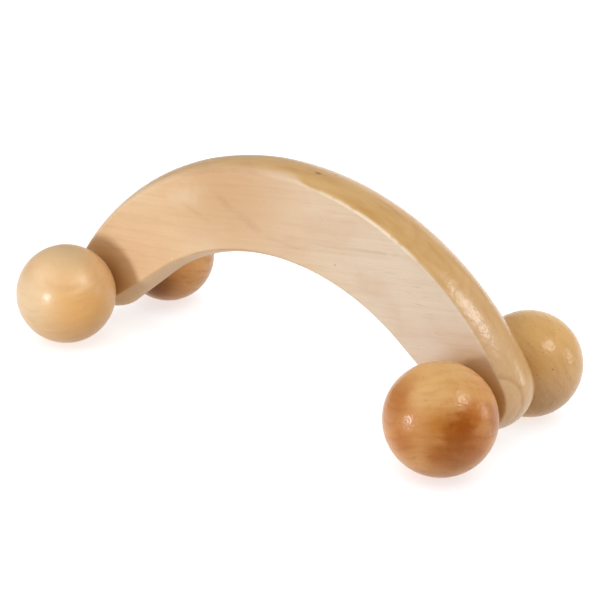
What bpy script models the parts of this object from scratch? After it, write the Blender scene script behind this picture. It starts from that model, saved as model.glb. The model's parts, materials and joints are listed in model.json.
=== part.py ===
"""Wooden roller massager: an arched handle board carried on two freely turning pairs of balls.

Frame: metres, +Z up, +X along the handle, +Y across it. The origin is on the surface that the
massager stands on, midway between its four balls.
"""

import math

import bmesh
import bpy

# Balls and axles
BALL_RADIUS = 0.019
AXLE_HALF_SPACING = 0.0843
BALL_HALF_TRACK = 0.0297
DOWEL_RADIUS = 0.004
DOWEL_END_CHAMFER = 0.0008
DOWEL_END_GAP = 0.0003
BORE_GLUE_GAP = 0.0003
BORE_DEPTH = 0.0155
BORE_MOUTH_CHAMFER = 0.0006

# Handle board: every outline is an outer arc, a rounded tip, a straight run and an inner arc
HANDLE_HALF_THICKNESS = 0.0098
HANDLE_BORE_CLEARANCE = 0.0003
OUTER_ARC_CENTRE_Z = -0.0336
INNER_ARC_CENTRE_Z = -0.0416
FACE_OUTLINE = {
    "outer_radius": 0.1125,
    "inner_radius": 0.0908,
    "tip_radius": 0.0106,
    "tip_angle": math.radians(58.2),
}
CREST_OUTLINE = {
    "outer_radius": 0.1159,
    "inner_radius": 0.0883,
    "tip_radius": 0.0148,
    "tip_angle": math.radians(57.5),
}

# Facets
BALL_SEGMENTS = 40
BALL_OUTER_STEPS = 10
BALL_INNER_STEPS = 8
DOWEL_SEGMENTS = 32
LAYERS = 9
OUTER_ARC_STEPS = 20
TIP_STEPS = 12
STRAIGHT_STEPS = 3
INNER_ARC_STEPS = 12
SMOOTH_ANGLE = math.radians(30)

# Materials: colour, roughness, metallic
HANDLE_WOOD = ((0.80, 0.57, 0.37, 1.0), 0.42, 0.0)
DOWEL_WOOD = ((0.72, 0.50, 0.30, 1.0), 0.55, 0.0)
BALL_WOODS = {
    "left_front_ball": ((0.76, 0.50, 0.26, 1.0), 0.25, 0.0),
    "left_rear_ball": ((0.52, 0.29, 0.13, 1.0), 0.25, 0.0),
    "right_front_ball": ((0.58, 0.27, 0.08, 1.0), 0.25, 0.0),
    "right_rear_ball": ((0.62, 0.39, 0.17, 1.0), 0.25, 0.0),
}


def clear_scene():
    for old in list(bpy.data.objects):
        bpy.data.objects.remove(old, do_unlink=True)


def wood(name, look):
    colour, roughness, metallic = look
    material = bpy.data.materials.new(name)
    material.use_nodes = True
    shader = material.node_tree.nodes["Principled BSDF"]
    shader.inputs["Base Color"].default_value = colour
    shader.inputs["Roughness"].default_value = roughness
    shader.inputs["Metallic"].default_value = metallic
    return material


def new_object(name, mesh, material, parent=None, location=(0, 0, 0)):
    piece = bpy.data.objects.new(name, mesh)
    bpy.context.scene.collection.objects.link(piece)
    piece.location = location
    piece.parent = parent
    if material and not mesh.materials:
        mesh.materials.append(material)
    return piece


def mesh_from(bm, name):
    bmesh.ops.recalc_face_normals(bm, faces=bm.faces)
    mesh = bpy.data.meshes.new(name)
    bm.to_mesh(mesh)
    bm.free()
    mesh.shade_smooth()
    mesh.set_sharp_from_angle(angle=SMOOTH_ANGLE)
    return mesh


def turned_mesh(name, profile, segments):
    """A solid turned about its own Y axis; the profile of (radius, y) starts and ends on the axis."""
    bm = bmesh.new()
    rings = []
    for radius, y in profile[1:-1]:
        ring = []
        for step in range(segments):
            angle = 2 * math.pi * step / segments
            ring.append(bm.verts.new((radius * math.sin(angle), y, -radius * math.cos(angle))))
        rings.append(ring)
    first_pole = bm.verts.new((0, profile[0][1], 0))
    last_pole = bm.verts.new((0, profile[-1][1], 0))
    for step in range(segments):
        following = (step + 1) % segments
        bm.faces.new((first_pole, rings[0][step], rings[0][following]))
        bm.faces.new((last_pole, rings[-1][following], rings[-1][step]))
        for near, far in zip(rings, rings[1:]):
            bm.faces.new((near[step], far[step], far[following], near[following]))
    return mesh_from(bm, name)


def arc(centre_x, centre_z, radius, start, end, steps):
    """Points on an arc in the XZ plane, at angles measured from +Z towards +X."""
    points = []
    for step in range(steps + 1):
        angle = start + (end - start) * step / steps
        points.append((centre_x + radius * math.sin(angle), centre_z + radius * math.cos(angle)))
    return points


def ball_profile():
    """From the closed outer pole round to the bore's mouth, then down the blind bore."""
    bore_radius = DOWEL_RADIUS + BORE_GLUE_GAP
    mouth_radius = bore_radius + BORE_MOUTH_CHAMFER
    mouth_angle = math.pi - math.asin(mouth_radius / BALL_RADIUS)
    outside = arc(0, 0, BALL_RADIUS, 0, math.pi / 2, BALL_OUTER_STEPS)
    outside += arc(0, 0, BALL_RADIUS, math.pi / 2, mouth_angle, BALL_INNER_STEPS)[1:]
    mouth_y = BALL_RADIUS * math.cos(mouth_angle)
    bottom_y = BORE_DEPTH - BALL_RADIUS
    return outside + [(bore_radius, mouth_y + BORE_MOUTH_CHAMFER), (bore_radius, bottom_y), (0, bottom_y)]


def dowel_profile():
    """A plain rod with a small chamfer at each end, reaching almost to the bottom of both bores."""
    half = BALL_HALF_TRACK - BALL_RADIUS + BORE_DEPTH - DOWEL_END_GAP
    end_radius = DOWEL_RADIUS - DOWEL_END_CHAMFER
    right_end = [(0, half), (end_radius, half), (DOWEL_RADIUS, half - DOWEL_END_CHAMFER)]
    left_end = [(radius, -y) for radius, y in reversed(right_end)]
    return right_end + left_end


def half_outline(outer_radius, inner_radius, tip_radius, tip_angle):
    """The +X half of a handle outline, from the top of the arch round the tip to its underside.

    The tip's circle touches the outer arc from inside. The straight run is the line that touches
    both the tip's circle and the inner arc, which lie on opposite sides of it.
    """
    tip_reach = outer_radius - tip_radius
    tip_x = tip_reach * math.sin(tip_angle)
    tip_z = OUTER_ARC_CENTRE_Z + tip_reach * math.cos(tip_angle)
    rise = tip_z - INNER_ARC_CENTRE_Z
    span = math.hypot(tip_x, rise)
    tangent_angle = math.atan2(tip_x, rise) - math.acos((inner_radius + tip_radius) / span)
    outer = arc(0, OUTER_ARC_CENTRE_Z, outer_radius, 0, tip_angle, OUTER_ARC_STEPS)
    tip = arc(tip_x, tip_z, tip_radius, tip_angle, tangent_angle + math.pi, TIP_STEPS)
    inner = arc(0, INNER_ARC_CENTRE_Z, inner_radius, tangent_angle, 0, INNER_ARC_STEPS)
    straight = []
    for step in range(1, STRAIGHT_STEPS):
        share = step / STRAIGHT_STEPS
        straight.append(
            (
                tip[-1][0] + (inner[0][0] - tip[-1][0]) * share,
                tip[-1][1] + (inner[0][1] - tip[-1][1]) * share,
            )
        )
    return outer + tip[1:] + straight + inner


def layer_outline(across):
    """The whole closed outline at a height across the board, from -1 to 1: fullest at 0."""
    fullness = 1 - across * across
    sizes = {}
    for key, face_value in FACE_OUTLINE.items():
        sizes[key] = face_value + (CREST_OUTLINE[key] - face_value) * fullness
    right = half_outline(**sizes)
    left = [(-x, z) for x, z in reversed(right[1:-1])]
    return right + left


def handle_mesh():
    """Two flat side faces joined by a crowned edge that runs all round the board."""
    bm = bmesh.new()
    loops = []
    for layer in range(LAYERS):
        across = -1 + 2 * layer / (LAYERS - 1)
        y = across * HANDLE_HALF_THICKNESS
        loops.append([bm.verts.new((x, y, z)) for x, z in layer_outline(across)])
    count = len(loops[0])
    for near, far in zip(loops, loops[1:]):
        for index in range(count):
            following = (index + 1) % count
            bm.faces.new((near[index], near[following], far[following], far[index]))
    bm.faces.new(loops[0])
    bm.faces.new(loops[-1])
    return mesh_from(bm, "handle")


def cut_axle_bore(handle, name, x):
    """A through bore for one dowel, cut by a cylinder that overruns both side faces."""
    radius = DOWEL_RADIUS + HANDLE_BORE_CLEARANCE
    reach = 1.5 * HANDLE_HALF_THICKNESS
    profile = [(0, reach), (radius, reach), (radius, -reach), (0, -reach)]
    mesh = turned_mesh(name, profile, DOWEL_SEGMENTS)
    cutter = new_object(name, mesh, None, location=(x, 0, BALL_RADIUS))
    cutter.hide_render = True
    cutter.display_type = "WIRE"
    cut = handle.modifiers.new(name, "BOOLEAN")
    cut.operation = "DIFFERENCE"
    cut.solver = "EXACT"
    cut.object = cutter


def add_handle():
    handle = new_object("handle", handle_mesh(), wood("handle_wood", HANDLE_WOOD))
    cut_axle_bore(handle, "left_bore_cutter", -AXLE_HALF_SPACING)
    cut_axle_bore(handle, "right_bore_cutter", AXLE_HALF_SPACING)


def add_wheelset(side, x):
    """One dowel with a ball glued on each end, under an empty on the axis they turn about."""
    axle = bpy.data.objects.new(side + "_axle", None)
    bpy.context.scene.collection.objects.link(axle)
    axle.location = (x, 0, BALL_RADIUS)
    dowel = turned_mesh(side + "_axle_dowel", dowel_profile(), DOWEL_SEGMENTS)
    new_object(side + "_axle_dowel", dowel, wood(side + "_dowel_wood", DOWEL_WOOD), axle)
    for end, direction in (("front", -1), ("rear", 1)):
        name = f"{side}_{end}_ball"
        mesh = turned_mesh(name, ball_profile(), BALL_SEGMENTS)
        place = (0, direction * BALL_HALF_TRACK, 0)
        ball = new_object(name, mesh, wood(name + "_wood", BALL_WOODS[name]), axle, place)
        if direction < 0:
            ball.rotation_euler = (0, 0, math.pi)


def main():
    clear_scene()
    add_handle()
    add_wheelset("left", -AXLE_HALF_SPACING)
    add_wheelset("right", AXLE_HALF_SPACING)


main()
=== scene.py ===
"""Looks of the wooden roller massager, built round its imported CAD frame.

Everything is in metres in the frame's own axes: +X along the handle, -Y towards the viewer's side,
+Z up from the floor. The board, balls and dowels are rebuilt as fine meshes at the places the frame
gives, and each gets a procedural wood whose grain runs through the solid.
"""

import json
import math

import bmesh
import bpy
from mathutils import Matrix, Vector, noise


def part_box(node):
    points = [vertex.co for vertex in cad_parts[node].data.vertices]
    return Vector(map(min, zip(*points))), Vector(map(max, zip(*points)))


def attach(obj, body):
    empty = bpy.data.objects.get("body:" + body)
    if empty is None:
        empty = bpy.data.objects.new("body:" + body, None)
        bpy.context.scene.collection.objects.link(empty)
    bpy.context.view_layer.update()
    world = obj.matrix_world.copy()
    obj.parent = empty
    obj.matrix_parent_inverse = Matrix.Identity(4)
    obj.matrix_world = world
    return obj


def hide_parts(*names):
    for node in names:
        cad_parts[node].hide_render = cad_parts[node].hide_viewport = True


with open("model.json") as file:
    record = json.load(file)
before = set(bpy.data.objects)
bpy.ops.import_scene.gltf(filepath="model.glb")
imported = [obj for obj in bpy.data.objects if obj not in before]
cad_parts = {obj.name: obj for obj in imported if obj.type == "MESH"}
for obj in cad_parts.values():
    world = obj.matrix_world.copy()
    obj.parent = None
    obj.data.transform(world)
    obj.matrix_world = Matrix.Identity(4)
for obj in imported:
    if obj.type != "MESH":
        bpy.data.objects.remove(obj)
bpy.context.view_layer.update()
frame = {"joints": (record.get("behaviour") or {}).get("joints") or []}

MM = 0.001

# Sizes read from the frame
HALF_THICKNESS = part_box("handle")[1].y
BALL_LOW, BALL_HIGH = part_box("right_rear_ball")
BALL_RADIUS = (BALL_HIGH.z - BALL_LOW.z) / 2
BALL_CENTRE_Y = BALL_HIGH.y - BALL_RADIUS
DOWEL_LOW, DOWEL_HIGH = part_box("right_axle_dowel")
DOWEL_RADIUS = (DOWEL_HIGH.z - DOWEL_LOW.z) / 2
DOWEL_HALF_LENGTH = DOWEL_HIGH.y
AXLES = {joint["child"]: Vector(joint["pos_m"]) for joint in frame["joints"]}
AXLE_X = AXLES["right_wheelset"].x

# Gap round a dowel in its bores, and the steps of every small rounding
DOWEL_CLEARANCE = 0.3 * MM
ROUNDING_STEPS = 6

# Handle outline: arcs of the flat face's edge and of the crest of the crowned edge
OUTER_ARC_CENTRE_Z = -33.6 * MM
INNER_ARC_CENTRE_Z = -41.6 * MM
FACE_OUTLINE = {
    "outer_radius": 112.5 * MM,
    "inner_radius": 90.8 * MM,
    "tip_radius": 10.6 * MM,
    "tip_angle": math.radians(58.2),
}
CREST_OUTLINE = {
    "outer_radius": 115.9 * MM,
    "inner_radius": 88.3 * MM,
    "tip_radius": 14.8 * MM,
    "tip_angle": math.radians(57.5),
}
OUTER_STEPS = 120
TIP_STEPS = 44
STRAIGHT_STEPS = 22
INNER_STEPS = 90

# Handle section: how far the rounding of the crease reaches on to the flat face. The corner is worn
# soft over the left of the crest, and still crisp over the right of it.
CREASE_AT_CREST = 1.1 * MM
CREASE_CRISP = 0.25 * MM
CREASE_SOFT = 0.8 * MM
CREASE_AT_TIP = 0.6 * MM
CREASE_INSIDE = 0.8 * MM
CROWN_STEPS = 26
BORE_RADIUS = DOWEL_RADIUS + DOWEL_CLEARANCE
BORE_ROUNDING = 0.5 * MM
BORE_SEGMENTS = 64
# A narrow strip beside each rounding, which keeps the shading of the flat face flat
FLAT_BORDER = 0.8 * MM
# Hand sanding: how deep its waves are, how long along the board, how much shorter across it
SANDING_DEPTH = 0.10 * MM
SANDING_SPAN = 16 * MM
SANDING_CROSSWISE = 1.6

# Where the crease changes size: two shares of the outer arc, counted from the crest to the tip, and
# one of the underside, counted from the tip inwards
LEAVING_CREST = (0.01, 0.20)
NEARING_TIP = (0.55, 1.0)
LEAVING_TIP = (0.0, 0.3)

# Where the crowned edge's deeper colour starts and is full, in shares of the bulge: at a crisp
# corner, and at a worn one
CRISP_CROWN = (-0.05, 0.08)
WORN_CROWN = (0.15, 0.70)
# Where that colour fades round the tip, in shares of its arc, and how much is left underneath
FADING_ROUND_TIP = (0.3, 1.0)
UNDERSIDE_DEPTH = 0.1
# How much of a crisp crease's mark carries over to the crown's first line of vertices
CREASE_MARK_ON_CROWN = 0.7

# Balls and dowels
BALL_SEGMENTS = 128
BALL_RINGS = 84
BALL_BORE_RADIUS = DOWEL_RADIUS + DOWEL_CLEARANCE
BALL_BORE_DEPTH = 15.5 * MM
BALL_MOUTH_ROUNDING = 0.6 * MM
TURNING_RIPPLE = 0.012 * MM
RIPPLES_PER_TURN = 46
DOWEL_SEGMENTS = 64
DOWEL_CHAMFER = 0.8 * MM
# Corners of a dowel's end: how far in from its side and back from its end, in chamfers
DOWEL_CORNERS = [(1.0, 0.0), (0.15, 0.6), (0.0, 1.4)]

# Camera
CAMERA_AZIMUTH = math.radians(35.78)
CAMERA_ELEVATION = math.radians(21.41)
CAMERA_ROLL = math.radians(2.19)
CAMERA_DISTANCE = 571.6 * MM
CAMERA_AIM = Vector((1.1, 5.3, 28.4)) * MM
CAMERA_LENS = 93.0

# Floor and background
FLOOR_SIZE = 8.0
FLOOR_TONES = (0.90, 0.90, 0.90, 1), (0.93, 0.93, 0.93, 1)
FLOOR_WASH = 2.2
FLOOR_WASH_TINT = (0.94, 1.03, 1.11)
FLOOR_WASH_SPREAD = math.radians(90)
DOME_RADIUS = 3.6
SKY_LIGHT = (0.49, 0.485, 0.475, 1)
GROUND_LIGHT = (0.46, 0.37, 0.26, 1)
# Where the ground's light turns to the sky's, from 0 straight down to 1 straight up
HORIZON = (0.35, 0.55)

# Studio lamps: place, width and height in millimetres, power in watts, tint
LIGHT_AIM = Vector((0, 0, 30)) * MM
WHITE = (1, 1, 1)
LAMPS = {
    "key": ((-80, -283, 48), 40, 60, 0.27, (0.97, 1.0, 1.06)),
    "top_right": ((502, 55, 547), 240, 240, 1.32, WHITE),
    "right_rear": ((550, 392, 155), 125, 235, 0.40, WHITE),
    "rear_fill": ((-160, 620, 160), 500, 500, 0.30, WHITE),
    "fill": ((-418, -448, 657), 600, 600, 0.92, WHITE),
}


# ---------------------------------------------------------------- mesh helpers


def mesh_object(name, bm, location=(0, 0, 0)):
    bmesh.ops.recalc_face_normals(bm, faces=bm.faces)
    mesh = bpy.data.meshes.new(name)
    bm.to_mesh(mesh)
    bm.free()
    mesh.shade_smooth()
    piece = bpy.data.objects.new(name, mesh)
    bpy.context.scene.collection.objects.link(piece)
    piece.location = location
    return piece


def bridge(bm, near, far):
    """Quads between two closed loops with the same number of vertices."""
    count = len(near)
    for index in range(count):
        following = (index + 1) % count
        bm.faces.new((near[index], near[following], far[following], far[index]))


def arc(centre_x, centre_z, radius, start, end, steps):
    """Points on an arc in the XZ plane, at angles measured from +Z towards +X."""
    points = []
    for step in range(steps + 1):
        angle = start + (end - start) * step / steps
        points.append(Vector((centre_x + radius * math.sin(angle), centre_z + radius * math.cos(angle))))
    return points


def smooth(low, high, value):
    """A smooth step: 0 below low, 1 above high."""
    share = min(1.0, max(0.0, (value - low) / (high - low)))
    return share * share * (3 - 2 * share)


def between(first, second, share):
    return first + (second - first) * share


# ---------------------------------------------------------------- handle board


def half_outline(outer_radius, inner_radius, tip_radius, tip_angle):
    """The +X half of an outline: outer arc, rounded tip, straight run, inner arc, in that order."""
    tip_reach = outer_radius - tip_radius
    tip_x = tip_reach * math.sin(tip_angle)
    tip_z = OUTER_ARC_CENTRE_Z + tip_reach * math.cos(tip_angle)
    rise = tip_z - INNER_ARC_CENTRE_Z
    span = math.hypot(tip_x, rise)
    tangent_angle = math.atan2(tip_x, rise) - math.acos((inner_radius + tip_radius) / span)
    outer = arc(0, OUTER_ARC_CENTRE_Z, outer_radius, 0, tip_angle, OUTER_STEPS)
    tip = arc(tip_x, tip_z, tip_radius, tip_angle, tangent_angle + math.pi, TIP_STEPS)
    inner = arc(0, INNER_ARC_CENTRE_Z, inner_radius, tangent_angle, 0, INNER_STEPS)
    shares = [step / STRAIGHT_STEPS for step in range(1, STRAIGHT_STEPS)]
    straight = [tip[-1].lerp(inner[0], share) for share in shares]
    return outer + tip[1:] + straight + inner


def whole_outline(sizes):
    right = half_outline(**sizes)
    left = [Vector((-point.x, point.y)) for point in reversed(right[1:-1])]
    return right + left


def all_round(right, left):
    """Values for the whole outline from those of its two halves, which share both end points."""
    return right + left[-2:0:-1]


def half_crease_sizes(side_size):
    """The crease's rounding along half the outline, side_size being its size between crest and tip."""
    sizes = []
    for step in range(OUTER_STEPS + 1):
        share = step / OUTER_STEPS
        size = between(CREASE_AT_CREST, side_size, smooth(*LEAVING_CREST, share))
        sizes.append(between(size, CREASE_AT_TIP, smooth(*NEARING_TIP, share)))
    sizes += [CREASE_AT_TIP] * TIP_STEPS
    remaining = STRAIGHT_STEPS + INNER_STEPS
    for step in range(remaining):
        sizes.append(between(CREASE_AT_TIP, CREASE_INSIDE, smooth(*LEAVING_TIP, step / remaining)))
    return sizes


def half_depths():
    """How much of the crown's deeper colour each point has: all of it outside, little underneath."""
    depths = [1.0] * (OUTER_STEPS + 1)
    for step in range(1, TIP_STEPS + 1):
        depths.append(between(1.0, UNDERSIDE_DEPTH, smooth(*FADING_ROUND_TIP, step / TIP_STEPS)))
    return depths + [UNDERSIDE_DEPTH] * (STRAIGHT_STEPS + INNER_STEPS)


def section(crease, bulge):
    """From the flat front face over the crown to the rear face, as (y, share of the bulge, edge).

    The crown is a parabola across the thickness. A quadratic curve rounds the crease where it meets
    each flat face. Edge marks that rounding, and spreads to both sides where the crease is crisp.
    """
    start_y = -HALF_THICKNESS + crease
    start_share = 1 - (start_y / HALF_THICKNESS) ** 2
    crisp = 1 - smooth(CREASE_CRISP, CREASE_SOFT, crease)
    front = [(-HALF_THICKNESS, -(crease + FLAT_BORDER) / bulge, 0.0)]
    for step in range(ROUNDING_STEPS):
        t = step / ROUNDING_STEPS
        y = -HALF_THICKNESS + crease * t * t
        share = -(crease / bulge) * (1 - t) ** 2 + start_share * t * t
        front.append((y, share, max(crisp, 4 * t * (1 - t))))
    crown = []
    for step in range(CROWN_STEPS + 1):
        y = start_y - 2 * start_y * step / CROWN_STEPS
        at_crease = step in (0, CROWN_STEPS)
        crown.append((y, 1 - (y / HALF_THICKNESS) ** 2, CREASE_MARK_ON_CROWN * crisp * at_crease))
    rear = [(-y, share, edge) for y, share, edge in reversed(front)]
    return front + crown + rear


def sanded(point, y, share):
    """Slight hand-sanding waviness of the crowned edge, none at the flat faces."""
    place = Vector((point.x, y * SANDING_CROSSWISE, point.y)) / SANDING_SPAN
    return SANDING_DEPTH * noise.noise(place) * max(0.0, share)


def bore_rings(bm, x):
    """The axle bore's vertex rings from the front face to the rear, with a rounded mouth at each end."""
    rings = []
    profile = [(BORE_RADIUS + BORE_ROUNDING + FLAT_BORDER / 2, -HALF_THICKNESS)]
    for step in range(ROUNDING_STEPS + 1):
        angle = math.pi / 2 * step / ROUNDING_STEPS
        radius = BORE_RADIUS + BORE_ROUNDING * (1 - math.sin(angle))
        y = -HALF_THICKNESS + BORE_ROUNDING * (1 - math.cos(angle))
        profile.append((radius, y))
    profile += [(radius, -y) for radius, y in reversed(profile)]
    for radius, y in profile:
        ring = []
        for step in range(BORE_SEGMENTS):
            angle = 2 * math.pi * step / BORE_SEGMENTS
            z = BALL_RADIUS + radius * math.cos(angle)
            ring.append(bm.verts.new((x + radius * math.sin(angle), y, z)))
        rings.append(ring)
    for near, far in zip(rings, rings[1:]):
        bridge(bm, near, far)
    return rings


def loop_edges(bm, loop):
    count = len(loop)
    return [bm.edges.get((loop[i], loop[(i + 1) % count])) for i in range(count)]


def crowned_loops(bm):
    """The board's closed loops of vertices, from the front face over the crown to the rear face.

    Three vertex attributes steer the wood's colour: crown on the outside of the crowned edge, inner
    on its underside, and edge on the two creases.
    """
    crown_layer = bm.verts.layers.float.new("crown")
    edge_layer = bm.verts.layers.float.new("edge")
    inner_layer = bm.verts.layers.float.new("inner")
    face_line = whole_outline(FACE_OUTLINE)
    crest_line = whole_outline(CREST_OUTLINE)
    creases = all_round(half_crease_sizes(CREASE_CRISP), half_crease_sizes(CREASE_AT_CREST))
    depths = all_round(half_depths(), half_depths())
    columns = []
    for face_point, crest_point, crease, depth in zip(face_line, crest_line, creases, depths):
        outward = crest_point - face_point
        worn = smooth(CREASE_AT_TIP, CREASE_AT_CREST, crease)
        column = []
        for y, share, edge in section(crease, outward.length):
            point = face_point + outward * share
            point += outward.normalized() * sanded(point, y, share)
            vertex = bm.verts.new((point.x, y, point.y))
            fading = worn if y < 0 else 0.0
            start = between(CRISP_CROWN[0], WORN_CROWN[0], fading)
            full = between(CRISP_CROWN[1], WORN_CROWN[1], fading)
            vertex[crown_layer] = depth * smooth(start, full, share)
            vertex[inner_layer] = (1 - depth) * smooth(*CRISP_CROWN, share)
            vertex[edge_layer] = edge
            column.append(vertex)
        columns.append(column)
    return list(zip(*columns))


def build_handle():
    bm = bmesh.new()
    loops = crowned_loops(bm)
    for near, far in zip(loops, loops[1:]):
        bridge(bm, near, far)
    left_rings = bore_rings(bm, -AXLE_X)
    right_rings = bore_rings(bm, AXLE_X)
    for end in (0, -1):
        rims = loop_edges(bm, loops[end]) + loop_edges(bm, left_rings[end])
        rims += loop_edges(bm, right_rings[end])
        bmesh.ops.triangle_fill(bm, use_beauty=True, use_dissolve=False, edges=rims)
    return mesh_object("handle_board", bm)


# ---------------------------------------------------------------- turned pieces


def turned(name, profile, segments, centre):
    """A solid turned about the Y axis through centre; the profile starts and ends on the axis."""
    bm = bmesh.new()
    rings = []
    for radius, y in profile[1:-1]:
        ring = []
        for step in range(segments):
            angle = 2 * math.pi * step / segments
            ring.append(bm.verts.new((radius * math.sin(angle), y, radius * math.cos(angle))))
        rings.append(ring)
    for near, far in zip(rings, rings[1:]):
        bridge(bm, near, far)
    for ring, (_, y) in ((rings[0], profile[0]), (rings[-1], profile[-1])):
        pole = bm.verts.new((0, y, 0))
        for step in range(segments):
            bm.faces.new((pole, ring[step], ring[(step + 1) % segments]))
    return mesh_object(name, bm, centre)


def ball_profile(direction):
    """Outer pole to bore mouth, then the rounded lip, the bore's wall and its flat bottom."""
    mouth_radius = BALL_BORE_RADIUS + BALL_MOUTH_ROUNDING
    mouth_angle = math.pi - math.asin(mouth_radius / BALL_RADIUS)
    points = []
    for step in range(BALL_RINGS + 1):
        angle = mouth_angle * step / BALL_RINGS
        radius = BALL_RADIUS - TURNING_RIPPLE * (1 - math.cos(angle * RIPPLES_PER_TURN)) / 2
        points.append((radius * math.sin(angle), radius * math.cos(angle)))
    lip_y = points[-1][1]
    for step in range(1, ROUNDING_STEPS + 1):
        angle = math.pi / 2 * step / ROUNDING_STEPS
        radius = mouth_radius - BALL_MOUTH_ROUNDING * math.sin(angle)
        points.append((radius, lip_y + BALL_MOUTH_ROUNDING * (1 - math.cos(angle))))
    bottom_y = BALL_BORE_DEPTH - BALL_RADIUS
    points += [(BALL_BORE_RADIUS, bottom_y), (0, bottom_y)]
    return [(radius, direction * y) for radius, y in points]


def dowel_profile():
    """A rod with two chamfers at each end, which make its corners look rounded."""
    end = [(0, DOWEL_HALF_LENGTH)]
    for inwards, back in DOWEL_CORNERS:
        end.append((DOWEL_RADIUS - inwards * DOWEL_CHAMFER, DOWEL_HALF_LENGTH - back * DOWEL_CHAMFER))
    return end + [(radius, -y) for radius, y in reversed(end)]


# ---------------------------------------------------------------- material helpers


class Nodes:
    """Builds one material. Every method but link and surface returns an output socket.

    Place is a point in the piece's own axes, in millimetres, so noise scales are per millimetre.
    """

    def __init__(self, name):
        self.material = bpy.data.materials.new(name)
        self.material.use_nodes = True
        self.tree = self.material.node_tree
        self.shader = self.tree.nodes["Principled BSDF"]
        coordinates = self.tree.nodes.new("ShaderNodeTexCoord").outputs["Object"]
        self.place = self.vector("SCALE", coordinates, Scale=1 / MM)

    def link(self, value, socket):
        if isinstance(value, bpy.types.NodeSocket):
            self.tree.links.new(value, socket)
        else:
            socket.default_value = value

    def surface(self, name, value):
        """Sets one of the shader's own inputs, or links an output to it."""
        self.link(value, self.shader.inputs[name])

    def add(self, kind, inputs, output=0, **settings):
        node = self.tree.nodes.new(kind)
        for name, value in settings.items():
            setattr(node, name, value)
        for key, value in inputs.items():
            self.link(value, node.inputs[key])
        return node.outputs[output]

    def calc(self, operation, *values):
        return self.add("ShaderNodeMath", dict(enumerate(values)), operation=operation)

    def times(self, *factors):
        product = factors[0]
        for factor in factors[1:]:
            product = self.calc("MULTIPLY", product, factor)
        return product

    def vector(self, operation, *values, output=0, **named):
        inputs = {**dict(enumerate(values)), **named}
        return self.add("ShaderNodeVectorMath", inputs, output, operation=operation)

    def stretched(self, place, x, y, z):
        return self.vector("MULTIPLY", place, (x, y, z))

    def rotated(self, place, angles):
        return self.add("ShaderNodeMapping", {"Vector": place, "Rotation": angles})

    def component(self, place, axis):
        """One coordinate of a place: axis 0, 1 or 2 for X, Y or Z."""
        return self.add("ShaderNodeSeparateXYZ", {"Vector": place}, axis)

    def distance(self, place, centre):
        return self.vector("DISTANCE", place, centre, output=1)

    def noise(self, place, scale=1.0, detail=2.0, roughness=0.5, distortion=0.0, output=0):
        """Noise about 0.5; output 1 is its colour, three such values at once."""
        inputs = {
            "Vector": place,
            "Scale": scale,
            "Detail": detail,
            "Roughness": roughness,
            "Distortion": distortion,
        }
        return self.add("ShaderNodeTexNoise", inputs, output)

    def centred(self, value, width):
        """Noise moved to lie about 0 and stretched to a width."""
        return self.times(self.calc("SUBTRACT", value, 0.5), width)

    def band(self, value, low, high, bottom=0.0, top=1.0):
        """A smooth step of value from low to high."""
        inputs = {"Value": value, "From Min": low, "From Max": high, "To Min": bottom, "To Max": top}
        return self.add("ShaderNodeMapRange", inputs, interpolation_type="SMOOTHSTEP")

    def blend(self, share, first, second, kind="MIX"):
        inputs = {0: share, 6: first, 7: second}
        return self.add("ShaderNodeMix", inputs, 2, data_type="RGBA", blend_type=kind, clamp_result=True)

    def attribute(self, name):
        return self.add("ShaderNodeAttribute", {}, 2, attribute_name=name)

    def bump(self, height, distance, strength):
        inputs = {"Height": height, "Distance": distance, "Strength": strength}
        return self.add("ShaderNodeBump", inputs)


def colour(red, green, blue):
    """A colour written as it looks on screen, turned to the linear values a shader takes."""
    linear = []
    for value in (red, green, blue):
        share = value / 255
        linear.append(share / 12.92 if share <= 0.04045 else ((share + 0.055) / 1.055) ** 2.4)
    return (*linear, 1.0)


def ring_lines(n, depth, gap, start, darkest):
    """One line in each gap of depth: it darkens slowly from start to darkest, then ends short."""
    ring = n.calc("FRACT", n.calc("DIVIDE", depth, gap))
    return n.times(n.band(ring, start, darkest), n.band(ring, darkest, 1.0, 1.0, 0.0))


# ---------------------------------------------------------------- handle wood


# Flat faces
FACE_LEFT = colour(230, 197, 159)
FACE_MIDDLE = colour(227, 202, 174)
FACE_RIGHT = colour(232, 216, 197)
HEART = colour(216, 179, 140)
DARK_CLOUD = colour(212, 176, 138)
PALE_CLOUD = colour(236, 214, 186)
# Painted shade round the axles, where the balls shade the flat faces
LEFT_AXLE_PAINTED_SHADE = colour(234, 220, 194)
RIGHT_AXLE_PAINTED_SHADE = colour(218, 193, 142)

# Crowned edge and creases
CROWN_PALE = colour(214, 176, 121)
CROWN_DEEP = colour(200, 155, 95)
LEG_PALE = colour(214, 178, 134)
LEG_DEEP = colour(206, 166, 119)
# Painted shade on the rear side of the crowned edge
CROWN_REAR_PAINTED_SHADE = colour(192, 144, 82)
UNDERSIDE = colour(232, 208, 180)
TIP_LENS = colour(226, 196, 158)
TIP_RING = colour(176, 134, 88)
CREASE_DARK = colour(192, 140, 92)
# Pale line along the crisp crease: partly rubbed wear, partly a painted highlight
CREASE_WEAR_AND_HIGHLIGHT = colour(248, 230, 202)

# Grain and marks
FIBRE = colour(196, 156, 114)
LATE_WOOD = colour(176, 134, 92)
DARK_MARK = colour(158, 116, 78)
PALE_MARK = colour(240, 221, 194)
CROWN_FLECK = colour(140, 96, 56)

# Figure of the wood, in millimetres and degrees. The pith is given in the grain's tilted axes.
GRAIN_TILT = 8
PITH = (0, 46, -34)
RING_GAP = 3.6
RING_BEND = 18
HEART_CENTRE = (-23, -10, 71)
WARMTH_SHIFT = (7, 3, 5)
TIP_LENS_CENTRES = ((94.5, -12, 19.5), (-94.5, 13, 21))
TIP_RING_RADIUS = 10.4

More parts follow.
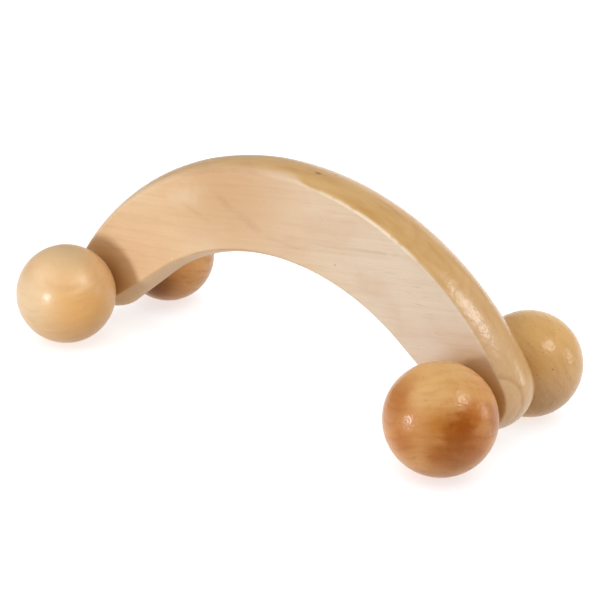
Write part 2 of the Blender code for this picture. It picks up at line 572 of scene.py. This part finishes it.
# Marks in the board's front face: place along X and up Z, half length, half width, rise along +X
# in degrees, strength. Places and sizes are in millimetres.
DARK_STREAKS = [
    (40, 60.8, 20, 0.9, 7, 0.22),
    (45, 61.4, 9, 0.4, 7, 0.22),
    (24, 58.6, 12, 0.7, 5, 0.14),
    (-23, 64.4, 9, 2.4, -24, 0.15),
    (-12, 59.2, 10, 2.6, -22, 0.15),
    (3, 55.2, 12, 1.2, -4, 0.12),
    (-38, 58.0, 12, 1.4, -18, 0.12),
    (60, 53.0, 3.4, 0.30, 4, 0.22),
    (57, 50.2, 3.0, 0.28, 3, 0.20),
    (64, 50.4, 2.6, 0.28, 5, 0.22),
    (61, 47.0, 2.8, 0.28, 2, 0.18),
    (66, 44.6, 2.2, 0.26, 4, 0.16),
    (49, 55.2, 4.0, 0.30, 6, 0.18),
    (70, 38.5, 3.4, 0.30, 3, 0.14),
    (26.4, 52.5, 0.46, 0.34, 0, 1.0),
]
PALE_STREAKS = [
    (21.3, 67.8, 0.42, 0.30, 0, 1.0),
    (14, 70.2, 8, 0.7, 6, 0.20),
    (8, 66.8, 5, 0.5, 4, 0.16),
    (-43, 62.5, 14, 6.0, 28, 0.34),
    (30, 71.0, 9, 0.8, 8, 0.22),
    (-36, 44.0, 16, 4.0, 20, 0.22),
    (-48.2, 36.7, 0.8, 0.35, 40, 0.8),
    (-51.6, 34.3, 0.6, 0.3, 40, 0.8),
    (-44.2, 39.0, 0.7, 0.3, 36, 0.6),
]
# Two short dark flecks on the crowned edge, each with its place across Y as well
CROWN_FLECKS = [
    (12.8, -3.0, 81.3, 1.9, 0.55, -7, 0.85),
    (18.0, 0.4, 80.9, 1.1, 0.45, -9, 0.5),
]
FACE_MARK_DEPTH = 5.0
FLECK_DEPTH = 1.0
# Where a mark ends, in shares of its half length and half width
MARK_RIM = 1.1


def front_marks(marks):
    """Marks given by X and Z alone, put in the plane of the front face."""
    return [(x, -HALF_THICKNESS / MM, *rest) for x, *rest in marks]


def streaks(n, marks, depth, ragged):
    """One mask for a list of marks: long soft ellipses with frayed edges."""
    total = 0.0
    for x, y, z, half_length, half_width, rise, strength in marks:
        inputs = {
            "Vector": n.place,
            "Location": (x, y, z),
            "Rotation": (0, -math.radians(rise), 0),
            "Scale": (half_length, depth, half_width),
        }
        nearby = n.add("ShaderNodeMapping", inputs, vector_type="TEXTURE")
        away = n.calc("ADD", n.vector("LENGTH", nearby, output=1), ragged)
        mask = n.band(away, MARK_RIM, 0.0, 0.0, strength)
        total = n.calc("MAXIMUM", total, mask)
    return total


def face_tones(n, along, clouds):
    """The flat faces run from peach on the left to a paler, cooler cream on the right."""
    tone = n.blend(n.band(along, -50, 0), FACE_LEFT, FACE_MIDDLE)
    tone = n.blend(n.band(along, 5, 62), tone, FACE_RIGHT)
    from_heart = n.calc("ADD", n.centred(clouds, 26.0), n.distance(n.place, HEART_CENTRE))
    tone = n.blend(n.band(from_heart, 38.0, 4.0, 0.0, 0.9), tone, HEART)
    tone = n.blend(n.band(clouds, 0.42, 0.72, 0.0, 0.28), tone, DARK_CLOUD)
    return n.blend(n.band(clouds, 0.48, 0.26, 0.0, 0.25), tone, PALE_CLOUD)


def painted_shade_near_axles(n, tone, along, crown):
    """Painted shade: the flat faces are darker and warmer round both axles, most on the right, standing
    in for the shade and warm light between the balls and the board.
    """
    both_sides = n.stretched(n.vector("ABSOLUTE", n.place), 1, 0, 1)
    away = n.distance(both_sides, (AXLE_X / MM, 0, BALL_RADIUS / MM))
    share = n.times(n.band(away, 21, 8), n.calc("SUBTRACT", 1.0, crown))
    painted_axle_shade = n.blend(n.band(along, -20, 20), LEFT_AXLE_PAINTED_SHADE, RIGHT_AXLE_PAINTED_SHADE)
    return n.blend(share, tone, painted_axle_shade, kind="MULTIPLY")


def tip_rings(n, tone):
    """A growth ring that comes out on each tip: a thin dark line round a slightly paler lens."""
    wavy = n.centred(n.noise(n.place, 0.16), 2.4)
    for centre in TIP_LENS_CENTRES:
        away = n.calc("ADD", n.distance(n.place, centre), wavy)
        lens = n.band(away, TIP_RING_RADIUS, TIP_RING_RADIUS - 1.0, 0.0, 0.30)
        tone = n.blend(lens, tone, TIP_LENS)
        inside = n.band(away, TIP_RING_RADIUS - 0.8, TIP_RING_RADIUS)
        outside = n.band(away, TIP_RING_RADIUS + 2.0, TIP_RING_RADIUS)
        tone = n.blend(n.times(inside, outside, 0.34), tone, TIP_RING)
    return tone


def crown_tones(n, grain, along):
    """The crowned edge takes up more lacquer: it is deeper and yellower. Towards the rear it is darker
    still, which is painted shade.
    """
    uptake = n.noise(n.stretched(grain, 0.045, 0.34, 0.10), detail=5.0, roughness=0.55)
    uptake = n.band(uptake, 0.30, 0.80)
    across = n.component(n.place, 1)
    on_leg = n.times(n.band(along, 62, 82), n.band(across, 3, -6, 0.15, 1.0))
    leg = n.blend(uptake, LEG_PALE, LEG_DEEP)
    tone = n.blend(on_leg, n.blend(uptake, CROWN_PALE, CROWN_DEEP), leg)
    # Painted shade towards the rear
    tone = n.blend(n.band(across, -1, 8, 0.0, 0.6), tone, CROWN_REAR_PAINTED_SHADE)
    return tip_rings(n, tone)


def growth_rings(n, grain):
    """Late wood of the growth rings, which bend slowly round a pith behind and below the board."""
    drift = n.noise(n.stretched(grain, 0.012, 0.03, 0.03), detail=3.0, output=1)
    drift = n.vector("SUBTRACT", drift, (0.5, 0.5, 0.5))
    bent = n.vector("MULTIPLY_ADD", drift, (0, RING_BEND, RING_BEND), grain)
    from_pith = n.stretched(n.vector("SUBTRACT", bent, PITH), 0, 1, 1)
    lines = ring_lines(n, n.vector("LENGTH", from_pith, output=1), RING_GAP, 0.35, 0.93)
    patchy = n.band(n.noise(n.stretched(grain, 0.02, 0.06, 0.06)), 0.38, 0.70)
    return n.times(lines, patchy)


def grained(n, tone, grain, fibres, crown):
    """Long fibres, growth rings that show more on the crown, and short ray flecks."""
    tone = n.blend(n.band(fibres, 0.42, 0.78, 0.0, 0.17), tone, FIBRE)
    ring_strength = n.calc("MULTIPLY_ADD", crown, 0.12, 0.08)
    tone = n.blend(n.times(growth_rings(n, grain), ring_strength), tone, LATE_WOOD)
    flecks = n.band(n.noise(n.stretched(grain, 0.55, 3.8, 3.8), detail=1.0), 0.66, 0.74)
    return n.blend(n.times(flecks, 0.15), tone, LATE_WOOD)


def marked(n, tone):
    """The board's own streaks, knots and flecks."""
    ragged = n.centred(n.noise(n.place, 0.35, detail=3.0), 0.9)
    tone = n.blend(streaks(n, front_marks(DARK_STREAKS), FACE_MARK_DEPTH, ragged), tone, DARK_MARK)
    tone = n.blend(streaks(n, front_marks(PALE_STREAKS), FACE_MARK_DEPTH, ragged), tone, PALE_MARK)
    return n.blend(streaks(n, CROWN_FLECKS, FLECK_DEPTH, ragged), tone, CROWN_FLECK)


def creased(n, tone, along):
    """The crease is a darker line left of the crest, and pale where it is still crisp: partly rubbed
    wear, partly a painted highlight.
    """
    edge = n.attribute("edge")
    left_of_crest = n.times(n.band(along, -46, -34), n.band(along, -4, -18))
    tone = n.blend(n.times(edge, 0.45, left_of_crest), tone, CREASE_DARK)
    right_of_crest = n.times(n.band(along, 4, 34), n.band(along, 66, 46))
    rubbing_and_highlight = n.calc("MULTIPLY_ADD", right_of_crest, 0.88, 0.12)
    broken = n.band(n.noise(n.place, 0.20, detail=3.0), 0.26, 0.50)
    # Rubbed wear and a painted highlight along the crisp crease
    worn = n.times(n.calc("POWER", edge, 1.1), broken, rubbing_and_highlight)
    return n.blend(worn, tone, CREASE_WEAR_AND_HIGHLIGHT)


def lacquered_board(n, grain, fibres, crown):
    """A thin satin lacquer that follows the fibres, thicker, glossier and rippled on the crown."""
    n.surface("Roughness", n.calc("MULTIPLY_ADD", crown, -0.12, n.band(fibres, 0.30, 0.80, 0.44, 0.56)))
    fine_fibres = n.noise(n.stretched(grain, 0.22, 4.6, 4.6), detail=3.0, roughness=0.6)
    ripple = n.times(n.noise(n.place, 0.42, detail=3.0), crown)
    height = n.calc("MULTIPLY_ADD", fine_fibres, 0.2, n.times(fibres, 0.2))
    normal = n.bump(n.calc("MULTIPLY_ADD", ripple, 3.0, height), 0.10 * MM, 0.5)
    n.surface("Normal", normal)
    n.surface("Coat Normal", normal)
    n.surface("Coat Weight", n.calc("MULTIPLY_ADD", crown, 0.50, 0.10))
    n.surface("Coat Roughness", 0.22)
    n.surface("Specular IOR Level", 0.3)
    n.surface("IOR", 1.5)


def handle_wood():
    n = Nodes("handle_beech")
    crown = n.attribute("crown")
    grain = n.rotated(n.place, (0, math.radians(GRAIN_TILT), 0))
    fibres = n.noise(n.stretched(grain, 0.04, 0.9, 0.9), detail=5.0, roughness=0.62)
    clouds = n.noise(n.stretched(n.place, 0.05, 0.08, 0.09), detail=3.0, distortion=0.3)

    # Along is the place along X, pushed to and fro so that colours don't change at a straight line
    warmth = n.noise(n.vector("ADD", n.stretched(n.place, 0.02, 0.03, 0.035), WARMTH_SHIFT))
    along = n.calc("ADD", n.centred(warmth, 60.0), n.component(n.place, 0))

    tone = face_tones(n, along, clouds)
    # Painted shade round both axles
    tone = painted_shade_near_axles(n, tone, along, crown)
    tone = n.blend(crown, tone, crown_tones(n, grain, along))
    tone = n.blend(n.times(n.attribute("inner"), 0.7), tone, UNDERSIDE)
    tone = grained(n, tone, grain, fibres, crown)
    tone = marked(n, tone)
    tone = creased(n, tone, along)
    n.surface("Base Color", tone)
    lacquered_board(n, grain, fibres, crown)
    return n.material


# ---------------------------------------------------------------- ball and dowel wood


# Colours are written as they look on screen, and lengths are in millimetres.
# base, line: colour of the wood, and of its darker lines and fibres
# ring_axis, ring_gap, ring_strength: the growth layers' axis, their spacing, how dark they end
# contrast, specks: strength of the darker figure, and of the pores
# coat, coat_roughness: weight and roughness of the lacquer
# peel, grit: depth of the lacquer's orange peel, and its share of fine grit
# fray: how far the fibres pull the patches' rims in and out
# patches: direction from the ball's centre, reach as a share of the radius, colour, strength
BALL_LOOKS = {
    "left_front_ball": {
        "base": (224, 187, 142),
        "line": (184, 142, 96),
        "ring_axis": (0.10, -0.25, 0.96),
        "ring_gap": 4.6,
        "ring_strength": 0.10,
        "contrast": 0.30,
        "specks": 0.10,
        "coat": 0.5,
        "coat_roughness": 0.28,
        "peel": 0.8,
        "grit": 0.10,
        "fray": 8.0,
        "patches": [
            ((-0.05, -0.98, 0.10), 0.70, (224, 198, 163), 0.8),
            ((0.88, -0.45, 0.08), 0.66, (223, 176, 116), 0.9),
            ((0.74, -0.35, 0.58), 0.32, (232, 196, 151), 0.8),
            ((0.16, -0.17, 0.97), 0.50, (212, 184, 144), 0.8),
        ],
    },
    "left_rear_ball": {
        "base": (207, 155, 100),
        "line": (146, 92, 46),
        "ring_axis": (0.50, 0.10, 0.86),
        "ring_gap": 4.6,
        "ring_strength": 0.18,
        "contrast": 0.55,
        "specks": 0.20,
        "coat": 0.5,
        "coat_roughness": 0.22,
        "peel": 0.8,
        "grit": 0.20,
        "fray": 9.0,
        "patches": [
            # Painted shade: this dark patch low on the side facing the board stands for the shade between
            # ball and board
            ((0.36, -0.82, -0.42), 0.50, (144, 94, 46), 0.95),
            ((0.75, -0.22, -0.62), 0.46, (216, 168, 114), 0.7),
            ((0.97, -0.10, 0.05), 0.40, (220, 170, 116), 0.7),
            ((0.10, 0.70, 0.70), 0.80, (196, 144, 90), 0.7),
        ],
    },
    "right_front_ball": {
        "base": (214, 155, 96),
        "line": (158, 92, 24),
        "ring_axis": (-0.22, 0.30, 0.93),
        "ring_gap": 4.4,
        "ring_strength": 0.15,
        "contrast": 0.42,
        "specks": 0.40,
        "coat": 0.55,
        "coat_roughness": 0.25,
        "peel": 1.4,
        "grit": 0.28,
        "fray": 6.0,
        "patches": [
            ((0.05, -0.25, 0.97), 0.80, (222, 178, 118), 0.9),
            ((-0.50, -0.74, 0.46), 0.52, (188, 124, 64), 0.9),
            ((0.10, -0.66, 0.75), 0.34, (221, 177, 120), 0.8),
            ((0.08, -0.88, -0.46), 0.46, (226, 173, 114), 0.9),
            ((0.90, -0.42, -0.12), 0.44, (190, 122, 62), 0.9),
            ((0.97, 0.16, 0.22), 0.32, (172, 104, 44), 0.8),
            ((-0.14, -0.97, -0.14), 0.28, (190, 120, 58), 0.8),
            ((0.83, -0.32, 0.44), 0.30, (192, 120, 48), 0.9),
            ((0.50, -0.82, 0.30), 0.28, (196, 130, 52), 0.8),
            ((0.52, -0.83, -0.22), 0.28, (188, 116, 46), 0.9),
            ((0.74, -0.67, 0.02), 0.30, (176, 106, 30), 0.9),
            ((0.76, -0.59, 0.26), 0.30, (170, 94, 0), 1.0),
        ],
    },
    "right_rear_ball": {
        "base": (218, 175, 117),
        "line": (168, 124, 72),
        "ring_axis": (0.50, 0.62, 0.60),
        "ring_gap": 5.0,
        "ring_strength": 0.14,
        "contrast": 0.5,
        "specks": 0.6,
        "coat": 0.5,
        "coat_roughness": 0.22,
        "peel": 1.2,
        "grit": 0.30,
        "fray": 9.0,
        "patches": [
            ((0.10, -0.25, 0.95), 0.65, (216, 175, 115), 0.8),
            ((0.72, -0.55, -0.40), 0.75, (207, 173, 134), 0.9),
            ((0.50, -0.78, 0.36), 0.30, (212, 166, 104), 0.7),
            ((0.97, 0.05, 0.20), 0.40, (213, 175, 127), 0.6),
        ],
    },
}
PORE = colour(112, 68, 32)
# A patch ends at this share of its reach, and is at full strength within this share of its rim
PATCH_RIM = 1.45
PATCH_CORE = 0.1
PEEL_DEPTH = 0.16 * MM
# How strongly the growth layers are dished, and how far slow noise bends them
LAYER_DISH = 0.012
LAYER_BEND = 12.0
# Moves each ball along its own axis to its own stretch of the noise
OWN_SHIFT = 40

DOWEL_PALE = colour(226, 190, 146)
DOWEL_DEEP = colour(196, 152, 104)
DOWEL_PORE = colour(150, 106, 66)


def layer_depth(n, axis, own_place):
    """Depth through the growth layers, which lie across the axis, dished and bent by slow noise."""
    along = n.vector("DOT_PRODUCT", n.place, tuple(axis), output=1)
    reach = n.vector("LENGTH", n.stretched(n.place, *(1 - abs(part) for part in axis)), output=1)
    dished = n.calc("MULTIPLY_ADD", n.times(reach, reach), LAYER_DISH, along)
    return n.calc("MULTIPLY_ADD", n.noise(own_place, 0.045), LAYER_BEND, dished)


def patched(n, tone, patches, frayed):
    """Blotches of heartwood and sapwood, and on one ball a patch of painted shade, each fading from its
    core to its rim.
    """
    for direction, reach, patch_colour, strength in patches:
        side = Vector(direction).normalized() * BALL_RADIUS / MM
        away = n.calc("ADD", n.distance(n.place, tuple(side)), frayed)
        rim = reach * BALL_RADIUS / MM * PATCH_RIM
        tone = n.blend(n.band(away, rim, rim * PATCH_CORE, 0.0, strength), tone, colour(*patch_colour))
    return tone


def lacquered_ball(n, look, own_place, fibres):
    """A clear coat with an orange peel, whose grit breaks up its highlights, over satin wood."""
    peel = n.calc("MULTIPLY_ADD", fibres, 0.12, n.noise(own_place, 0.70, detail=1.0))
    peel = n.calc("MULTIPLY_ADD", n.noise(own_place, 1.5, detail=0.0), look["grit"], peel)
    normal = n.bump(peel, PEEL_DEPTH * look["peel"], 0.5)
    n.surface("Normal", normal)
    n.surface("Coat Normal", normal)
    n.surface("Coat Weight", look["coat"])
    n.surface("Coat Roughness", look["coat_roughness"])
    n.surface("Roughness", n.band(fibres, 0.3, 0.8, 0.34, 0.48))
    n.surface("Specular IOR Level", 0.1)
    n.surface("IOR", 1.5)


def ball_wood(name, look):
    n = Nodes(name + "_wood")
    axis = Vector(look["ring_axis"]).normalized()
    own_place = n.vector("ADD", n.place, tuple(axis * OWN_SHIFT))
    depth = layer_depth(n, axis, own_place)
    faded = n.band(n.noise(own_place, 0.09), 0.40, 0.64)
    rings = n.times(ring_lines(n, depth, look["ring_gap"], 0.45, 0.90), faded, look["ring_strength"])

    # Fibres run within the layers, so their noise is squeezed across them
    layers = n.vector("SCALE", tuple(axis), Scale=depth)
    in_fine_layers = n.vector("MULTIPLY_ADD", n.place, (0.09, 0.09, 0.09), layers)
    in_broad_layers = n.vector("MULTIPLY_ADD", n.place, (0.22, 0.22, 0.22), layers)
    fibres = n.noise(in_fine_layers, 1.3, detail=5.0, roughness=0.6)
    brushed = n.noise(in_broad_layers, 0.42, detail=4.0)
    mottle = n.noise(own_place, 0.17, detail=5.0, roughness=0.6, distortion=0.5)
    pores = n.band(n.noise(own_place, 1.1), 0.68, 0.75)

    frayed = n.calc("ADD", n.centred(brushed, look["fray"]), n.centred(mottle, 9.0))
    tone = patched(n, colour(*look["base"]), look["patches"], frayed)
    contrast = look["contrast"]
    dark_line = colour(*look["line"])
    tone = n.blend(n.band(mottle, 0.46, 0.76, 0.0, 0.30 * contrast), tone, dark_line)
    tone = n.blend(n.band(brushed, 0.46, 0.74, 0.0, 0.35 * contrast), tone, dark_line)
    tone = n.blend(n.band(fibres, 0.45, 0.80, 0.0, 0.24 * contrast), tone, dark_line)
    tone = n.blend(rings, tone, dark_line)
    tone = n.blend(n.times(pores, look["specks"]), tone, PORE)
    n.surface("Base Color", tone)
    lacquered_ball(n, look, own_place, fibres)
    return n.material


def dowel_wood():
    n = Nodes("dowel_birch")
    fibres = n.noise(n.stretched(n.place, 1.4, 0.05, 1.4), detail=5.0, roughness=0.6)
    pores = n.band(n.noise(n.stretched(n.place, 5.0, 0.6, 5.0)), 0.62, 0.72)
    tone = n.blend(n.band(fibres, 0.3, 0.7), DOWEL_PALE, DOWEL_DEEP)
    n.surface("Base Color", n.blend(n.times(pores, 0.4), tone, DOWEL_PORE))
    n.surface("Roughness", n.band(fibres, 0.3, 0.7, 0.5, 0.68))
    n.surface("Normal", n.bump(fibres, 0.05 * MM, 0.6))
    return n.material


# ---------------------------------------------------------------- studio


def floor_material():
    n = Nodes("studio_floor")
    speckle = n.noise(n.stretched(n.place, 0.02, 0.02, 0.02), detail=3.0)
    n.surface("Base Color", n.blend(speckle, *FLOOR_TONES))
    n.surface("Roughness", 0.9)
    n.surface("Specular IOR Level", 0.0)
    return n.material


def build_floor():
    """A pale floor that takes shadows, but gives no light back to the object."""
    bm = bmesh.new()
    bmesh.ops.create_grid(bm, x_segments=1, y_segments=1, size=FLOOR_SIZE / 2)
    floor = mesh_object("studio_floor", bm)
    floor.data.materials.append(floor_material())
    floor.visible_diffuse = False
    floor.visible_shadow = False
    return floor


def build_backdrop():
    """A white dome round the set, which only the camera sees: it neither lights nor shades the object."""
    bm = bmesh.new()
    bmesh.ops.create_uvsphere(bm, u_segments=64, v_segments=32, radius=DOME_RADIUS)
    backdrop = mesh_object("studio_backdrop", bm)
    white = bpy.data.materials.new("studio_backdrop")
    white.use_nodes = True
    shader = white.node_tree.nodes["Principled BSDF"]
    shader.inputs["Base Color"].default_value = (0, 0, 0, 1)
    shader.inputs["Specular IOR Level"].default_value = 0.0
    shader.inputs["Emission Color"].default_value = (1, 1, 1, 1)
    shader.inputs["Emission Strength"].default_value = 1.0
    white.cycles.emission_sampling = "NONE"
    backdrop.data.materials.append(white)
    backdrop.visible_diffuse = False
    backdrop.visible_glossy = False
    backdrop.visible_transmission = False
    backdrop.visible_shadow = False


def light_only(lamp, floor, link_state):
    """Let a lamp light nothing but the floor (INCLUDE), or all but the floor (EXCLUDE)."""
    receivers = bpy.data.collections.new(lamp.name + "_receivers")
    receivers.objects.link(floor)
    receivers.collection_objects[0].light_linking.link_state = link_state
    lamp.light_linking.receiver_collection = receivers


def wash_floor(floor):
    """A soft light from overhead that falls only on the floor, to keep it evenly pale."""
    light = bpy.data.lights.new("floor_wash", "SUN")
    light.energy = FLOOR_WASH
    light.angle = FLOOR_WASH_SPREAD
    light.color = FLOOR_WASH_TINT
    light.use_shadow = False
    lamp = bpy.data.objects.new("floor_wash", light)
    bpy.context.scene.collection.objects.link(lamp)
    light_only(lamp, floor, "INCLUDE")


def light_object(floor, name, place, width, height, power, tint):
    """A soft lamp aimed at the object, which leaves the floor to the wash."""
    light = bpy.data.lights.new(name, "AREA")
    light.shape = "ELLIPSE"
    light.size = width * MM
    light.size_y = height * MM
    light.energy = power
    light.color = tint
    lamp = bpy.data.objects.new(name, light)
    lamp.location = Vector(place) * MM
    lamp.rotation_euler = (LIGHT_AIM - lamp.location).to_track_quat("-Z", "Y").to_euler()
    bpy.context.scene.collection.objects.link(lamp)
    light_only(lamp, floor, "EXCLUDE")


def build_surroundings():
    """Pale surroundings, warmer and darker below the horizon, in place of light off the floor."""
    world = bpy.data.worlds.new("studio_white")
    world.use_nodes = True
    tree = world.node_tree
    direction = tree.nodes.new("ShaderNodeTexCoord").outputs["Generated"]
    parts = tree.nodes.new("ShaderNodeSeparateXYZ")
    tree.links.new(direction, parts.inputs["Vector"])
    height = tree.nodes.new("ShaderNodeMapRange")
    height.inputs["From Min"].default_value = -1.0
    tree.links.new(parts.outputs["Z"], height.inputs["Value"])
    ramp = tree.nodes.new("ShaderNodeValToRGB")
    for stop, position, light in zip(ramp.color_ramp.elements, HORIZON, (GROUND_LIGHT, SKY_LIGHT)):
        stop.position = position
        stop.color = light
    tree.links.new(height.outputs["Result"], ramp.inputs["Fac"])
    tree.links.new(ramp.outputs["Color"], tree.nodes["Background"].inputs["Color"])
    bpy.context.scene.world = world


def build_camera():
    flat = math.cos(CAMERA_ELEVATION)
    back = Vector(
        (
            flat * math.sin(CAMERA_AZIMUTH),
            -flat * math.cos(CAMERA_AZIMUTH),
            math.sin(CAMERA_ELEVATION),
        )
    )
    camera = bpy.data.objects.new("camera", bpy.data.cameras.new("camera"))
    camera.data.lens = CAMERA_LENS
    camera.data.clip_start = 10 * MM
    camera.location = CAMERA_AIM + back * CAMERA_DISTANCE
    turn = back.to_track_quat("Z", "Y").to_matrix() @ Matrix.Rotation(CAMERA_ROLL, 3, "Z")
    camera.rotation_euler = turn.to_euler()
    bpy.context.scene.collection.objects.link(camera)
    bpy.context.scene.camera = camera


def build_studio():
    bpy.context.scene.view_settings.view_transform = "Standard"
    bpy.context.scene.view_settings.look = "Medium High Contrast"
    build_camera()
    floor = build_floor()
    wash_floor(floor)
    for name, (place, width, height, power, tint) in LAMPS.items():
        light_object(floor, name, place, width, height, power, tint)
    build_surroundings()
    build_backdrop()


# ---------------------------------------------------------------- assembly


def place_piece(piece, node, body, material):
    piece.data.materials.append(material)
    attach(piece, body)
    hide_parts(node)


def build_wheelset(side, dowel_material):
    body = side + "_wheelset"
    axle = AXLES[body]
    dowel = turned(side + "_dowel", dowel_profile(), DOWEL_SEGMENTS, axle)
    place_piece(dowel, side + "_axle_dowel", body, dowel_material)
    for end, direction in (("front", -1), ("rear", 1)):
        node = f"{side}_{end}_ball"
        centre = axle + Vector((0, direction * BALL_CENTRE_Y, 0))
        ball = turned(f"{side}_{end}_turned_ball", ball_profile(direction), BALL_SEGMENTS, centre)
        place_piece(ball, node, body, ball_wood(node, BALL_LOOKS[node]))


def main():
    build_studio()
    place_piece(build_handle(), "handle", "handle", handle_wood())
    dowel_material = dowel_wood()
    for side in ("left", "right"):
        build_wheelset(side, dowel_material)


main()
